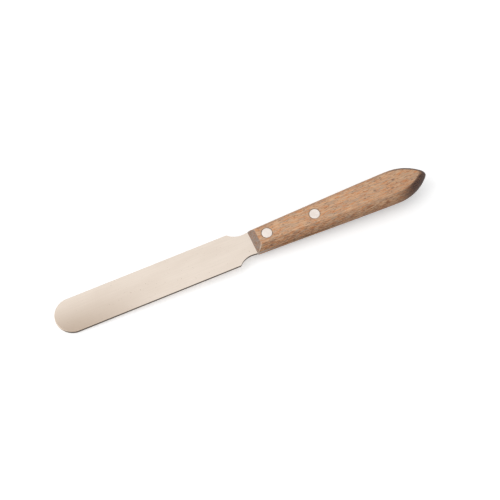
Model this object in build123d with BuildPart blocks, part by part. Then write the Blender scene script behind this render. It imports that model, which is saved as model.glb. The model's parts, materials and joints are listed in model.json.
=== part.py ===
from build123d import *
from math import atan2, cos, sin, sqrt
import os

# A flat spatula, in millimetres: a stainless blade whose tang is held in the
# saw kerf of a one-piece wooden handle by two flush two-piece rivets.
# Everything is placed from the mid plane of the blade. On that plane, x is the
# distance from the blade's tip and y is the distance from its centre line.

# Driving sizes of the blade and its tang
blade_length = 113.0        # tip to the front of the handle
blade_width = 20.0
blade_thickness = 1.5
tip_flattening = 0.1        # the round end's radius, beyond half the width
tip_corner_round = 4.0      # where the round end meets the straight sides
neck_length = 11.0          # shoulders to the front of the handle
neck_waist = 0.25           # each side of the neck, inside the sides of the tang
cove_radius = 10.5          # hollow between a shoulder and the handle
shoulder_round = 0.6
tang_beyond_rivet = 6.5     # middle of the rear rivet to the end of the tang
tang_corner_round = 1.5
blade_edge_round = 0.15     # rubbed-off edge all round the blade

# Driving sizes of the handle
handle_length = 103.0
handle_thickness = 11.0
handle_front_width = 13.8
handle_belly_width = 19.0   # widest, where the pointed end begins
taper_length = 72.0         # front to where its straight sides would be as wide as the belly
side_round_extra = 1.0      # radius of the rounded sides, beyond half the thickness
point_length = 19.6         # belly to the end
nose_round = 1.5            # blunt end of the point
width_between_rounds = 0.02
bevel_length = 3.1          # slanted front faces, above and below the tang
kerf_spare = 2.0            # open kerf behind the end of the tang

# Driving sizes of the rivets
rivet_setback = 8.5         # handle front to the first rivet
rivet_spacing = 28.0
rivet_head_diameter = 5.8
rivet_head_thickness = 1.2
rivet_shank_diameter = 4.0
rivet_pin_diameter = 2.6
rivet_solid_end = 1.6       # stretch of shank beside its head that isn't bored
rivet_end_gap = 0.5         # beyond the end of a shank and the end of a pin
rivet_edge_break = 0.12

# Clearances
head_clearance = 0.12       # all round a head in its counterbore
shank_clearance = 0.1       # all round a shank in the wood and the tang
pin_clearance = 0.02        # all round a pin in its shank
tang_inset = 0.05           # each side of the tang, inside the front of the handle

# The blade is heavier than the handle, so the spatula lies on the tip of its
# blade and on the front edge of the handle's flat underside. Both touch z = 0.
underside_below_blade = (handle_thickness - blade_thickness) / 2
underside_start = blade_length + bevel_length
lie_angle = atan2(underside_below_blade, underside_start)
total_length = blade_length + handle_length
mid_plane = Plane(
    origin=(-total_length / 2 * cos(lie_angle), 0, blade_thickness / 2 * cos(lie_angle)),
    x_dir=(cos(lie_angle), 0, sin(lie_angle)),
    z_dir=(-sin(lie_angle), 0, cos(lie_angle)),
)
mid_plane_turned_over = Plane(mid_plane.origin, mid_plane.x_dir, -mid_plane.z_dir)
side_plane = Plane(mid_plane.origin, mid_plane.x_dir, -mid_plane.y_dir)
top_plane = mid_plane.offset(handle_thickness / 2)
under_plane = mid_plane_turned_over.offset(handle_thickness / 2)
upright = Axis(mid_plane.origin, mid_plane.z_dir)
lengthwise = Axis(mid_plane.origin, mid_plane.x_dir)

rivet_places = {
    "front": blade_length + rivet_setback,
    "rear": blade_length + rivet_setback + rivet_spacing,
}
rivet_points = [(place, 0) for place in rivet_places.values()]
shank_hole_radius = rivet_shank_diameter / 2 + shank_clearance


def corners_at(sketch, x):
    """The corners of a sketch at one distance from the tip."""
    return [corner for corner in sketch.vertices() if abs(corner.X - x) < 0.001]


# Points of the blade's outline, on the +y side of the centre line
tang_width = handle_front_width - 2 * tang_inset
tang_length = rivet_setback + rivet_spacing + tang_beyond_rivet
neck_width = tang_width - 2 * neck_waist
tip_radius = blade_width / 2 + tip_flattening
tip_depth = tip_radius - sqrt(tip_radius**2 - (blade_width / 2) ** 2)
shoulder_x = blade_length - neck_length
cove_depth = (blade_width - neck_width) / 2
cove_x = shoulder_x + sqrt(cove_radius**2 - (cove_radius - cove_depth) ** 2)
tang_start_x = cove_x + sqrt(cove_radius**2 - (cove_radius - neck_waist) ** 2)
tang_end_x = blade_length + tang_length

with BuildPart() as blade:
    with BuildSketch(mid_plane) as blade_outline:
        with BuildLine():
            RadiusArc((0, 0), (tip_depth, blade_width / 2), tip_radius)
            Line((tip_depth, blade_width / 2), (shoulder_x, blade_width / 2))
            ThreePointArc(
                (shoulder_x, blade_width / 2),
                (cove_x, neck_width / 2),
                (tang_start_x, tang_width / 2),
            )
            Polyline((tang_start_x, tang_width / 2), (tang_end_x, tang_width / 2), (tang_end_x, 0))
            mirror(about=Plane.XZ)
        make_face()
        fillet(corners_at(blade_outline, tip_depth), radius=tip_corner_round)
        fillet(corners_at(blade_outline, shoulder_x), radius=shoulder_round)
        fillet(corners_at(blade_outline, tang_start_x), radius=tang_corner_round)
        fillet(corners_at(blade_outline, tang_end_x), radius=tang_corner_round)
    extrude(amount=blade_thickness / 2, both=True)
    fillet(blade.faces().filter_by(upright).edges(), radius=blade_edge_round)
    with BuildSketch(mid_plane) as tang_holes:
        with Locations(*rivet_points):
            Circle(shank_hole_radius)
    extrude(amount=blade_thickness, both=True, mode=Mode.SUBTRACT)
blade.part.label = "blade"

# Points of the handle's outline. Each side of its pointed end is an arc that
# leaves the belly along the handle and runs into the small arc of the nose.
belly_x = total_length - point_length
belly_half = handle_belly_width / 2
nose_x = total_length - nose_round
nose_beyond_belly = nose_x - belly_x
point_radius = (nose_beyond_belly**2 + belly_half**2 - nose_round**2) / (2 * (belly_half - nose_round))
point_angle = atan2(nose_beyond_belly, point_radius - belly_half)
nose_start = (nose_x + nose_round * sin(point_angle), nose_round * cos(point_angle))
kerf_length = tang_length + kerf_spare

# The handle's sides are rounded over more than its height, and its flats and
# bevels then cut that round. The two rounds need a little width between them.
side_radius = min(handle_thickness / 2 + side_round_extra, handle_front_width / 2 - width_between_rounds)
uncut_half_height = max(side_radius, handle_thickness / 2) + width_between_rounds
with BuildPart() as handle:
    with BuildSketch(mid_plane) as handle_outline:
        with BuildLine():
            Line((blade_length, 0), (blade_length, handle_front_width / 2))
            Bezier(
                (blade_length, handle_front_width / 2),
                (blade_length + taper_length, belly_half),
                (belly_x, belly_half),
            )
            RadiusArc((belly_x, belly_half), nose_start, point_radius)
            RadiusArc(nose_start, (total_length, 0), nose_round)
            mirror(about=Plane.XZ)
        make_face()
    extrude(amount=uncut_half_height, both=True)
    front_face = handle.faces().sort_by(lengthwise)[0]
    rims = handle.faces().filter_by(upright).edges()
    side_rims = rims - front_face.edges()
    fillet(side_rims, radius=side_radius)
    with BuildSketch(side_plane.offset(-handle_belly_width)) as handle_profile:
        with BuildLine():
            Polyline(
                (blade_length, 0),
                (blade_length, blade_thickness / 2),
                (blade_length + bevel_length, handle_thickness / 2),
                (total_length + nose_round, handle_thickness / 2),
                (total_length + nose_round, 0),
            )
            mirror(about=Plane.XZ)
        make_face()
    extrude(amount=2 * handle_belly_width, mode=Mode.INTERSECT)
    with BuildSketch(side_plane.offset(-handle_belly_width)) as kerf_profile:
        with Locations((blade_length, 0)):
            Rectangle(kerf_length, blade_thickness, align=(Align.MIN, Align.CENTER))
    extrude(amount=2 * handle_belly_width, mode=Mode.SUBTRACT)
    for face_plane in (top_plane, under_plane):
        with Locations(face_plane):
            with Locations(*rivet_points):
                CounterBoreHole(
                    radius=shank_hole_radius,
                    counter_bore_radius=rivet_head_diameter / 2 + head_clearance,
                    counter_bore_depth=rivet_head_thickness,
                    depth=handle_thickness / 2,
                )
handle.part.label = "handle"

os.makedirs("parts", exist_ok=True)
export_step(blade.part, "parts/blade.step")
export_step(handle.part, "parts/handle.step")

# Each rivet is a tube with a head, fitted from below, and a pin with a head,
# pressed into that tube from above. Both heads seat on their counterbores.
seat_height = handle_thickness / 2 - rivet_head_thickness
pin_length = 2 * seat_height - rivet_solid_end - rivet_end_gap
bore_radius = rivet_pin_diameter / 2 + pin_clearance
for name, place in rivet_places.items():
    with BuildPart() as rivet_post:
        with BuildSketch(under_plane) as head:
            with Locations((place, 0)):
                Circle(rivet_head_diameter / 2)
        extrude(amount=-rivet_head_thickness)
        outer_face = rivet_post.faces().sort_by(upright)[0]
        chamfer(outer_face.edges(), length=rivet_edge_break)
        with BuildSketch(mid_plane.offset(-seat_height)) as shank:
            with Locations((place, 0)):
                Circle(rivet_shank_diameter / 2)
        extrude(amount=2 * seat_height - rivet_end_gap)
        with BuildSketch(mid_plane.offset(seat_height)) as bore:
            with Locations((place, 0)):
                Circle(bore_radius)
        extrude(amount=-(pin_length + rivet_end_gap), mode=Mode.SUBTRACT)
    rivet_post.part.label = name + "_rivet_post"
    export_step(rivet_post.part, "parts/" + name + "_rivet_post.step")

    with BuildPart() as rivet_cap:
        with BuildSketch(top_plane) as head:
            with Locations((place, 0)):
                Circle(rivet_head_diameter / 2)
        extrude(amount=-rivet_head_thickness)
        outer_face = rivet_cap.faces().sort_by(upright)[-1]
        chamfer(outer_face.edges(), length=rivet_edge_break)
        with BuildSketch(mid_plane.offset(seat_height)) as pin:
            with Locations((place, 0)):
                Circle(rivet_pin_diameter / 2)
        extrude(amount=-pin_length)
    rivet_cap.part.label = name + "_rivet_cap"
    export_step(rivet_cap.part, "parts/" + name + "_rivet_cap.step")
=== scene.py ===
import json
import math

import bpy
from mathutils import Matrix, Vector


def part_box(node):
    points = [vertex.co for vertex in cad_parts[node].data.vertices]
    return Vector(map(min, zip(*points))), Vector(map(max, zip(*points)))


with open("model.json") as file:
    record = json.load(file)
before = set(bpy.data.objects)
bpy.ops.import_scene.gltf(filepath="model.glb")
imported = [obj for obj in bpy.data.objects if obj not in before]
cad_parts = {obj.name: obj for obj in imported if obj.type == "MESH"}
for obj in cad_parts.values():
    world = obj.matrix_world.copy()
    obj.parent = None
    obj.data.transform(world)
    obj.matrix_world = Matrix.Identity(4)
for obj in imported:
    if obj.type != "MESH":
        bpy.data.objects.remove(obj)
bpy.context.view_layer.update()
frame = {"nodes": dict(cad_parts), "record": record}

MM = 0.001
BLADE_THICKNESS = 1.5      # mm, rolled sheet
HANDLE_THICKNESS = 11.0    # mm, over the two flats
BEVEL_LENGTH = 3.1         # mm, of the handle's slanted front faces
FLUSH_TANG = 18.0          # mm, how far back the tang is as wide as the handle
KERF_FADE = 4.0            # mm, each side of there, over which the tang's edge turns to the painted shade of the kerf
HEAD_RADIUS = 2.9          # mm, of the flush rivet heads
POINT_SHADE_FROM = 24.0         # mm before the handle's end, where the painted shade round the point begins
POINT_SHADE_FULL = 9.0          # mm before the end, where the painted shade is darkest

# Small dark bruises on the upper flat, in mm behind the handle's front end and across it
BRUISES = ((84, 1.5), (81.5, -3.0), (72, -0.5))

# The blade's mid plane leans on the floor by this angle, tip down
rest_axis = Vector(frame["record"]["mounts"][0]["axis"])
lie_angle = math.atan2(rest_axis.x, -rest_axis.z)
level_out = Matrix.Rotation(lie_angle, 3, "Y")

# The middle of the handle's front end, in that plane
blade_tip_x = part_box("blade")[0].x
handle_low, handle_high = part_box("handle")
front_z = BLADE_THICKNESS / 2 * MM + (handle_low.x - blade_tip_x) * math.tan(lie_angle)
handle_front = Vector((handle_low.x, 0, front_z))
handle_length = (handle_high.x - handle_low.x) / math.cos(lie_angle) / MM
blade_length = (handle_low.x - blade_tip_x) / math.cos(lie_angle) / MM


def behind_front(node):
    """How far a rivet's axis is behind the handle's front end, in millimetres."""
    low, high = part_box(node)
    return (level_out @ ((low + high) / 2 - handle_front)).x / MM


def colour(hexadecimal):
    """An sRGB hex colour as the linear colour of a shader socket."""
    channels = [int(hexadecimal[i:i + 2], 16) / 255 for i in (0, 2, 4)]
    return [c / 12.92 if c <= 0.04045 else ((c + 0.055) / 1.055) ** 2.4 for c in channels] + [1.0]


def add(tree, kind, inputs=None, **settings):
    """Adds a shader node with its settings. An input is a value, or a socket to link from."""
    node = tree.nodes.new("ShaderNode" + kind)
    for name, value in settings.items():
        setattr(node, name, value)
    for key, value in (inputs or {}).items():
        if isinstance(value, bpy.types.NodeSocket):
            tree.links.new(value, node.inputs[key])
        else:
            node.inputs[key].default_value = value
    return node.outputs


def material_on_spatula(name):
    """A material with the place and facing of its surface, along the spatula.

    The place is in millimetres from the middle of the handle's front end.
    """
    material = bpy.data.materials.new(name)
    material.use_nodes = True
    tree = material.node_tree
    tree.nodes.clear()
    source = add(tree, "TexCoord")
    place = add(tree, "Mapping", {
        "Vector": source["Object"],
        "Location": -(level_out @ handle_front) / MM,
        "Rotation": (0, lie_angle, 0),
        "Scale": (1 / MM, 1 / MM, 1 / MM),
    })[0]
    facing = add(tree, "Mapping", {
        "Vector": source["Normal"],
        "Rotation": (0, lie_angle, 0),
    }, vector_type="NORMAL")[0]
    return material, tree, place, facing


def grain(tree, place, size, low, high, detail=2.0, seed=0.0):
    """Marks of a size in mm along, across and up, from 0 where there are none to 1 in their middle."""
    stretched = add(tree, "Mapping", {
        "Vector": place,
        "Scale": [1 / s for s in size],
        "Location": (seed, seed, seed),
    })[0]
    level = add(tree, "TexNoise", {
        "Vector": stretched, "Scale": 1.0, "Detail": detail, "Roughness": 0.55,
    })[0]
    return add(tree, "MapRange", {
        "Value": level, "From Min": low, "From Max": high,
    }, interpolation_type="SMOOTHSTEP")[0]


def paint_over(tree, under, over, marks, strength):
    """Lays one colour over another where the marks are, at a strength from 0 to 1."""
    amount = add(tree, "Math", {0: marks, 1: strength}, operation="MULTIPLY")[0]
    return add(tree, "Mix", {0: amount, 6: under, 7: over}, data_type="RGBA")[2]


def where_sideways(tree, facing, start, full):
    """0 on the flats to 1 on the long sides, by how far a surface faces across the spatula."""
    face_across = add(tree, "SeparateXYZ", {0: facing})[1]
    sideways = add(tree, "Math", {0: face_across}, operation="ABSOLUTE")[0]
    return add(tree, "MapRange", {"Value": sideways, "From Min": start, "From Max": full})[0]


def shade_round_end(tree, steel, place):
    """Paints the blade's round end darker, and its near side most: a painted reflection of a darker room
    there.
    """
    along, across = add(tree, "SeparateXYZ", {0: place})[:2]
    near_tip = add(tree, "MapRange", {
        "Value": along, "From Min": -blade_length * 0.4, "From Max": -blade_length,
    }, interpolation_type="SMOOTHSTEP")[0]
    near_side = add(tree, "MapRange", {
        "Value": across, "From Min": 14.0, "From Max": -11.0,
    }, interpolation_type="SMOOTHSTEP")[0]
    round_end_shade = add(tree, "Math", {0: near_tip, 1: near_side}, operation="MULTIPLY")[0]
    # Painted reflection: the round end and its near side are painted darker
    return paint_over(tree, steel, colour("B9A796"), round_end_shade, 0.95)


def shade_sides_and_kerf(tree, steel, place, rim):
    """The sheared sides are painted dark, a painted dark reflection, but the very end, which faces along,
    is left unpainted and bright.

    The tang's edge was sanded with the wood where it is flush, and is painted darker with shade in the
    open kerf.
    """
    # Painted dark reflection on the sheared sides
    steel = paint_over(tree, steel, colour("55483F"), rim, 1.0)
    along = add(tree, "SeparateXYZ", {0: place})[0]
    in_handle = add(tree, "Math", {0: along, 1: 0.0}, operation="GREATER_THAN")[0]
    tang_rim = add(tree, "Math", {0: rim, 1: in_handle}, operation="MULTIPLY")[0]
    in_kerf = add(tree, "MapRange", {
        "Value": along, "From Min": FLUSH_TANG - KERF_FADE, "From Max": FLUSH_TANG + KERF_FADE,
    })[0]
    tang_edge_and_kerf_shade = add(tree, "Mix", {
        0: in_kerf, 6: colour("A39A94"), 7: colour("2A211C"),
    }, data_type="RGBA")[2]
    # Painted shade in the open kerf, over the grey edge where the tang is flush
    return paint_over(tree, steel, tang_edge_and_kerf_shade, tang_rim, 1.0)


def satin_stainless():
    """Stainless sheet polished lengthwise: a warm pale sheen, hair-lined, clouded and freckled by use."""
    material, tree, place, facing = material_on_spatula("satin_stainless")
    # Hair lines are a few hundredths of a millimetre wide, and drawn a third wide so that they show
    hair_lines = grain(tree, place, (26, 0.32, 0.32), 0.3, 0.7, 3)
    clouds = grain(tree, place, (24, 8, 8), 0.35, 0.7)
    freckles = grain(tree, place, (0.75, 0.6, 0.6), 0.72, 0.8, 1, seed=7.3)
    rim = where_sideways(tree, facing, 0.45, 0.85)

    steel = add(tree, "Mix", {
        0: hair_lines, 6: colour("EADDD0"), 7: colour("E5D8CB"),
    }, data_type="RGBA")[2]
    steel = paint_over(tree, steel, colour("E0D2C4"), clouds, 0.5)
    steel = paint_over(tree, steel, colour("8F735A"), freckles, 0.55)
    steel = shade_round_end(tree, steel, place)
    steel = shade_sides_and_kerf(tree, steel, place, rim)

    satin = add(tree, "MapRange", {"Value": hair_lines, "To Min": 0.3, "To Max": 0.36})[0]
    rough = add(tree, "Mix", {0: rim, 2: satin, 3: 0.55})[0]
    relief = add(tree, "Bump", {"Height": hair_lines, "Strength": 0.25, "Distance": 0.004 * MM})[0]
    shader = add(tree, "BsdfPrincipled", {
        "Base Color": steel, "Metallic": 1.0, "Roughness": rough, "Normal": relief,
    })
    add(tree, "OutputMaterial", {"Surface": shader[0]})
    return material


def ground_rivet_steel():
    """Rivet heads ground flush with the wood: pale, with fine scratches left by the belt."""
    material, tree, place = material_on_spatula("ground_rivet_steel")[:3]
    # Belt scratches are under a tenth of a millimetre wide, and drawn 0.2 mm wide so that they show
    scratches = grain(tree, place, (2.2, 0.2, 0.2), 0.3, 0.7, 3)
    dull_patches = grain(tree, place, (2.5, 2.5, 2.5), 0.4, 0.65)
    steel = add(tree, "Mix", {
        0: scratches, 6: colour("F2E9E2"), 7: colour("EADFD6"),
    }, data_type="RGBA")[2]
    steel = paint_over(tree, steel, colour("E0D4CA"), dull_patches, 0.5)
    rough = add(tree, "MapRange", {"Value": scratches, "To Min": 0.34, "To Max": 0.45})[0]
    relief = add(tree, "Bump", {"Height": scratches, "Strength": 0.5, "Distance": 0.004 * MM})[0]
    shader = add(tree, "BsdfPrincipled", {
        "Base Color": steel, "Metallic": 1.0, "Roughness": rough, "Normal": relief,
    })
    add(tree, "OutputMaterial", {"Surface": shader[0]})
    return material


def lay_long_grain(tree, place, flecks, pores):
    """Broad pale bands, a greyish cast, rust-brown flecks and dark pores, all along the handle."""
    bands = grain(tree, place, (55, 2.6, 2.6), 0.35, 0.65)
    grey_cast = grain(tree, place, (6.5, 0.6, 0.6), 0.44, 0.58, 3, seed=3.1)
    wood = add(tree, "Mix", {0: bands, 6: colour("D6AE8A"), 7: colour("CBA27F")}, data_type="RGBA")[2]
    wood = paint_over(tree, wood, colour("AE9580"), grey_cast, 0.8)
    wood = paint_over(tree, wood, colour("C88350"), flecks, 0.85)
    return paint_over(tree, wood, colour("6E4A34"), pores, 0.75)


def darken_rear_half(tree, wood, place):
    """The rear half is painted a little darker towards the end."""
    along = add(tree, "SeparateXYZ", {0: place})[0]
    towards_end = add(tree, "MapRange", {
        "Value": along, "From Min": handle_length * 0.5, "From Max": handle_length,
    })[0]
    return paint_over(tree, wood, colour("8E6E56"), towards_end, 0.24)


def dash_sides(tree, wood, place, on_side):
    """The sides are cut across the rays, and carry close dark dashes."""
    dashes = grain(tree, place, (2.8, 0.45, 0.36), 0.48, 0.6, 3, seed=8.2)
    side_dashes = add(tree, "Math", {0: dashes, 1: on_side}, operation="MULTIPLY")[0]
    return paint_over(tree, wood, colour("7A4A2B"), side_dashes, 0.7)


def bruise_upper_flat(tree, wood, place):
    """A small oval stain at each bruise, faded at its rim."""
    for bruise in BRUISES:
        middle = (*bruise, HANDLE_THICKNESS / 2)
        from_bruise = add(tree, "VectorMath", {0: place, 1: middle}, operation="SUBTRACT")[0]
        oval = add(tree, "VectorMath", {0: from_bruise, 1: (0.7, 1.3, 1.0)}, operation="MULTIPLY")[0]
        reach = add(tree, "VectorMath", {0: oval}, operation="LENGTH")["Value"]
        stain = add(tree, "MapRange", {"Value": reach, "From Min": 0.95, "From Max": 0.3})[0]
        wood = paint_over(tree, wood, colour("5A4A44"), stain, 0.6)
    return wood


def show_end_grain(tree, wood, place, facing):
    """Grey end grain with cut rays and open vessels, on the slanted front faces."""
    rays = grain(tree, place, (1.2, 0.45, 1.0), 0.45, 0.6, 3, seed=2.3)
    vessels = grain(tree, place, (1.0, 0.45, 0.45), 0.48, 0.6, 2, seed=6.6)
    end_grain = add(tree, "Mix", {0: rays, 6: colour("A0938A"), 7: colour("AC7F60")}, data_type="RGBA")[2]
    end_grain = paint_over(tree, end_grain, colour("6A574C"), vessels, 0.7)
    face_along = add(tree, "SeparateXYZ", {0: facing})[0]
    end_facing = add(tree, "MapRange", {"Value": face_along, "From Min": -0.5, "From Max": -0.7})[0]
    return paint_over(tree, wood, end_grain, end_facing, 1.0)


def highlight_and_rub_front_edges(tree, wood, place, on_side):
    """The sharp edge of each slanted face is painted pale where it crosses the rounded sides: a painted
    highlight on an edge that is also rubbed.
    """
    measured = add(tree, "SeparateXYZ", {0: place})
    height = add(tree, "Math", {0: measured[2]}, operation="ABSOLUTE")[0]
    bevel_start = add(tree, "MapRange", {
        "Value": height,
        "From Min": BLADE_THICKNESS / 2,
        "From Max": HANDLE_THICKNESS / 2,
        "To Max": BEVEL_LENGTH,
    })[0]
    behind_bevel = add(tree, "Math", {0: measured[0], 1: bevel_start}, operation="SUBTRACT")[0]
    edge_strip = add(tree, "MapRange", {"Value": behind_bevel, "From Min": 0.75, "From Max": 0.4})[0]
    highlight_and_rubbed = add(tree, "Math", {0: edge_strip, 1: on_side}, operation="MULTIPLY")[0]
    # Painted highlight, with rubbing, along the front edges
    return paint_over(tree, wood, colour("E8D8C6"), highlight_and_rubbed, 0.85)


def darken_point_with_shade(tree, wood, place, facing, flecks):
    """The end grain round the point is painted nearly black where it turns away from the top: dark end
    grain with painted shade over it.
    """
    along = add(tree, "SeparateXYZ", {0: place})[0]
    face_up = add(tree, "SeparateXYZ", {0: facing})[2]
    near_point = add(tree, "MapRange", {
        "Value": along, "From Min": handle_length - POINT_SHADE_FROM, "From Max": handle_length - POINT_SHADE_FULL,
    }, interpolation_type="SMOOTHSTEP")[0]
    turned_away = add(tree, "MapRange", {"Value": face_up, "From Min": 0.97, "From Max": 0.75})[0]
    ragged = add(tree, "MapRange", {"Value": flecks, "To Min": 1.0, "To Max": 0.75})[0]
    point_shade = add(tree, "Math", {0: near_point, 1: turned_away}, operation="MULTIPLY")[0]
    point_shade = add(tree, "Math", {0: point_shade, 1: ragged}, operation="MULTIPLY")[0]
    # Painted shade over the dark end grain round the point
    return paint_over(tree, wood, colour("43302A"), point_shade, 1.0)


def shade_round_rivets(tree, wood, place):
    """A dark line of painted shade round each rivet head, where the gap round it is in shadow."""
    along, across = add(tree, "SeparateXYZ", {0: place})[:2]
    for cap in ("front_rivet_cap", "rear_rivet_cap"):
        from_axis = add(tree, "Math", {0: along, 1: behind_front(cap)}, operation="SUBTRACT")[0]
        flat_place = add(tree, "CombineXYZ", {"X": from_axis, "Y": across})[0]
        away = add(tree, "VectorMath", {0: flat_place}, operation="LENGTH")["Value"]
        rivet_gap_shade = add(tree, "MapRange", {
            "Value": away, "From Min": HEAD_RADIUS + 0.5, "From Max": HEAD_RADIUS + 0.15,
        })[0]
        # Painted shade in the gap round the rivet head
        wood = paint_over(tree, wood, colour("4A352A"), rivet_gap_shade, 0.45)
    return wood


def oiled_beech():
    """Sanded, oiled beech: warm and matt, with rust-brown flecks, dark pores and dark end grain; painted
    shade at the point and round the rivets, and a painted highlight on the front edges.
    """
    material, tree, place, facing = material_on_spatula("oiled_beech")
    # Beech flecks and pores are a tenth or two wide, and drawn 0.4 mm wide so that they show
    flecks = grain(tree, place, (4.5, 0.42, 0.42), 0.5, 0.6, 3, seed=11.7)
    pores = grain(tree, place, (1.5, 0.38, 0.38), 0.6, 0.7, 1, seed=5.9)
    on_side = where_sideways(tree, facing, 0.45, 0.75)

    wood = lay_long_grain(tree, place, flecks, pores)
    wood = darken_rear_half(tree, wood, place)
    wood = dash_sides(tree, wood, place, on_side)
    wood = bruise_upper_flat(tree, wood, place)
    wood = show_end_grain(tree, wood, place, facing)
    wood = highlight_and_rub_front_edges(tree, wood, place, on_side)
    wood = darken_point_with_shade(tree, wood, place, facing, flecks)
    wood = shade_round_rivets(tree, wood, place)

    hollow = add(tree, "Math", {0: pores, 1: flecks}, operation="ADD")[0]
    relief = add(tree, "Bump", {"Height": hollow, "Strength": 0.6, "Distance": 0.03 * MM}, invert=True)[0]
    rough = add(tree, "MapRange", {"Value": flecks, "To Min": 0.62, "To Max": 0.5})[0]
    shader = add(tree, "BsdfPrincipled", {
        "Base Color": wood, "Roughness": rough, "Specular IOR Level": 0.3, "Normal": relief,
    })
    add(tree, "OutputMaterial", {"Surface": shader[0]})
    return material


def finish_nodes(material, names):
    """Gives the named nodes one material all over."""
    for name in names:
        mesh = frame["nodes"][name].data
        mesh.materials.clear()
        mesh.materials.append(material)


def seen_by_camera(tree):
    """1 for what the camera sees, in mirror images and through glass too, and 0 for plain lighting."""
    ray = add(tree, "LightPath")
    seen = add(tree, "Math", {0: ray["Is Camera Ray"], 1: ray["Is Glossy Ray"]}, operation="MAXIMUM")[0]
    return add(tree, "Math", {0: seen, 1: ray["Is Transmission Ray"]}, operation="MAXIMUM")[0]


def white_laminate():
    """A matt white that is seen white, and throws only a little light up at the wood."""
    material = bpy.data.materials.new("white_laminate")
    material.use_nodes = True
    tree = material.node_tree
    tree.nodes.clear()
    seen = seen_by_camera(tree)
    paint = add(tree, "Mix", {0: seen, 6: colour("8C8680"), 7: colour("E6E6E6")}, data_type="RGBA")[2]
    lift = add(tree, "Math", {0: seen, 1: 0.35}, operation="MULTIPLY")[0]
    matt = add(tree, "BsdfDiffuse", {"Color": paint})[0]
    glow = add(tree, "Emission", {"Color": colour("FFFFFF"), "Strength": lift})[0]
    both = add(tree, "AddShader", {0: matt, 1: glow})[0]
    add(tree, "OutputMaterial", {"Surface": both})
    return material


def lay_table_top():
    """A table top so large that its end is seen only from very low down."""
    reach = 12.0
    corners = [(-reach, -reach, 0), (reach, -reach, 0), (reach, reach, 0), (-reach, reach, 0)]
    mesh = bpy.data.meshes.new("table_top")
    mesh.from_pydata(corners, [], [(0, 1, 2, 3)])
    mesh.materials.append(white_laminate())
    table_top = bpy.data.objects.new("table_top", mesh)
    bpy.context.scene.collection.objects.link(table_top)


def light_room():
    """A pale ceiling, a little darker on the left, over darker walls. It is seen plain white."""
    world = bpy.data.worlds.new("studio")
    bpy.context.scene.world = world
    world.use_nodes = True
    tree = world.node_tree
    tree.nodes.clear()
    direction = add(tree, "TexCoord")["Generated"]
    compass = add(tree, "SeparateXYZ", {0: direction})
    ceiling = add(tree, "MapRange", {
        "Value": compass[0], "From Min": -0.1, "From Max": 0.3, "To Min": 0.79, "To Max": 0.9,
    }, interpolation_type="SMOOTHSTEP")[0]
    dimmed = add(tree, "MapRange", {
        "Value": compass[2], "From Min": 0.05, "From Max": 0.7, "To Min": 0.6, "To Max": 1.0,
    }, interpolation_type="SMOOTHSTEP")[0]
    level = add(tree, "Math", {0: ceiling, 1: dimmed}, operation="MULTIPLY")[0]
    shown = add(tree, "Mix", {0: seen_by_camera(tree), 2: level, 3: 1.0})[0]
    sky = add(tree, "Background", {"Color": colour("FFFFFF"), "Strength": shown})[0]
    add(tree, "OutputWorld", {"Surface": sky})


def hang_soft_box():
    """One large soft lamp, high on the left, turned to the spatula."""
    lamp = bpy.data.lights.new("soft_box", "AREA")
    lamp.shape = "RECTANGLE"
    lamp.size = 0.9
    lamp.size_y = 0.9
    lamp.energy = 5.0
    soft_box = bpy.data.objects.new("soft_box", lamp)
    bpy.context.scene.collection.objects.link(soft_box)
    place = Vector((-0.75, 0.15, 0.95))
    turn = place.to_track_quat("Z", "Y").to_matrix().to_4x4()
    soft_box.matrix_world = Matrix.Translation(place) @ turn


def set_camera():
    """Looks down on the near side from the left, with a long lens."""
    azimuth = math.radians(-24.4)
    elevation = math.radians(61.6)
    roll = math.radians(0.95)
    distance = 0.934
    level_reach = math.cos(elevation)
    eye = Vector((math.sin(azimuth) * level_reach, -math.cos(azimuth) * level_reach, math.sin(elevation)))
    right = Vector((math.cos(azimuth), math.sin(azimuth), 0))
    upward = eye.cross(right)
    turned = Matrix((right, upward, eye)).transposed() @ Matrix.Rotation(roll, 3, "Z")
    data = bpy.data.cameras.new("camera")
    data.lens = 125
    data.sensor_width = 36
    data.clip_start = 0.05
    data.shift_x = 0.0122
    data.shift_y = 0.0028
    camera = bpy.data.objects.new("camera", data)
    bpy.context.scene.collection.objects.link(camera)
    camera.matrix_world = Matrix.Translation(eye * distance) @ turned.to_4x4()
    bpy.context.scene.camera = camera


set_camera()
lay_table_top()
light_room()
hang_soft_box()
finish_nodes(satin_stainless(), ["blade"])
finish_nodes(oiled_beech(), ["handle"])
finish_nodes(ground_rivet_steel(), [name for name in frame["nodes"] if "rivet" in name])
bpy.context.scene.view_settings.view_transform = "Standard"
